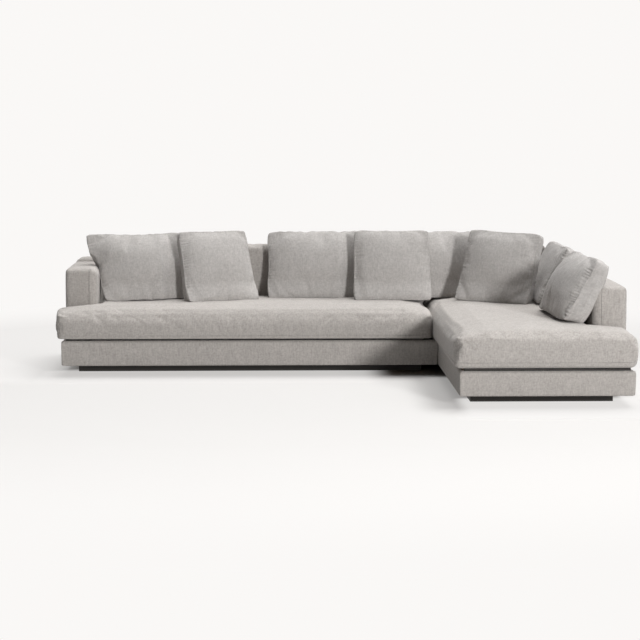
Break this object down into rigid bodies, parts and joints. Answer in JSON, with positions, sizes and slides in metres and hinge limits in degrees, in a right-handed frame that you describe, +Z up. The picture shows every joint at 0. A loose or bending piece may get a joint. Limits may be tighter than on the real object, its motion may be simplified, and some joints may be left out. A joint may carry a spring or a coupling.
{
  "type": "corner sofa",
  "caption": "Low L-shaped upholstered sofa: a long bench module with one arm joined to a chaise module with one arm, on recessed plinths, with loose leaning cushions.",
  "frame": {"origin": "centre of the footprint, on the floor", "axes": "+X along the bench towards the chaise, the sitter's left as they sit, +Y from the front towards the backs, +Z up"},
  "size_m": [3.184, 2.305, 0.8447],
  "materials": {
    "cover_fabric": "warm grey woven upholstery cloth, matt",
    "cushion_fabric": "warm grey woven upholstery cloth, matt, soft and padded",
    "scatter_fabric": "warm grey woven upholstery cloth, matt, soft and padded",
    "frame_timber": "planed softwood, unfinished",
    "plywood": "sanded plywood board",
    "plinth_stain": "dark stained wood, satin",
    "strapping": "woven elastic webbing, black",
    "deck_cloth": "dark felted lining cloth",
    "plate_steel": "zinc plated"
  },
  "bodies": {
    "sofa": {"bench_front_border": "cover_fabric", "bench_plinth_front": "plinth_stain", "bench_back_border": "cover_fabric", "bench_plinth_back": "plinth_stain", "bench_left_border": "cover_fabric", "bench_plinth_left": "plinth_stain", "bench_right_border": "cover_fabric", "bench_plinth_right": "plinth_stain", "bench_bottom_board": "plywood", "bench_front_rail": "frame_timber", "bench_back_rail": "frame_timber", "bench_left_rail": "frame_timber", "bench_right_rail": "frame_timber", "bench_cross_rail": "frame_timber", "bench_webbing": "strapping", "bench_deck_cloth": "deck_cloth", "chaise_front_border": "cover_fabric", "chaise_plinth_front": "plinth_stain", "chaise_back_border": "cover_fabric", "chaise_plinth_back": "plinth_stain", "chaise_left_border": "cover_fabric", "chaise_plinth_left": "plinth_stain", "chaise_right_border": "cover_fabric", "chaise_plinth_right": "plinth_stain", "chaise_bottom_board": "plywood", "chaise_front_rail": "frame_timber", "chaise_back_rail": "frame_timber", "chaise_left_rail": "frame_timber", "chaise_right_rail": "frame_timber", "chaise_cross_rail": "frame_timber", "chaise_webbing": "strapping", "chaise_deck_cloth": "deck_cloth", "join_plate_front": "plate_steel", "join_plate_back": "plate_steel", "left_arm_frame": "frame_timber", "left_arm_cover": "cover_fabric", "right_arm_frame": "frame_timber", "right_arm_cover": "cover_fabric", "bench_back_frame": "frame_timber", "bench_back_cover": "cover_fabric", "chaise_back_frame": "frame_timber", "chaise_back_cover": "cover_fabric", "bench_back_pad": "cover_fabric", "bench_seat_cushion": "cushion_fabric", "chaise_back_pad": "cover_fabric", "chaise_seat_cushion": "cushion_fabric", "left_wide_cushion": "cushion_fabric", "middle_wide_cushion": "cushion_fabric", "corner_wide_cushion": "cushion_fabric", "far_arm_cushion": "cushion_fabric"},
    "near_arm_cushion": {"near_arm_cushion": "cushion_fabric"},
    "left_scatter_cushion": {"left_scatter_cushion": "scatter_fabric"},
    "middle_scatter_cushion": {"middle_scatter_cushion": "scatter_fabric"},
    "corner_scatter_cushion": {"corner_scatter_cushion": "scatter_fabric"}
  },
  "joints": [
    {"name": "near_arm_lift", "type": "slide", "parent": "sofa", "child": "near_arm_cushion", "axis": [0, 0, 1], "range_m": [0, 0.3]},
    {"name": "left_scatter_lift", "type": "slide", "parent": "sofa", "child": "left_scatter_cushion", "axis": [0, 0, 1], "range_m": [0, 0.3]},
    {"name": "middle_scatter_lift", "type": "slide", "parent": "sofa", "child": "middle_scatter_cushion", "axis": [0, 0, 1], "range_m": [0, 0.3]},
    {"name": "corner_scatter_lift", "type": "slide", "parent": "sofa", "child": "corner_scatter_cushion", "axis": [0, 0, 1], "range_m": [0, 0.3]}
  ]
}
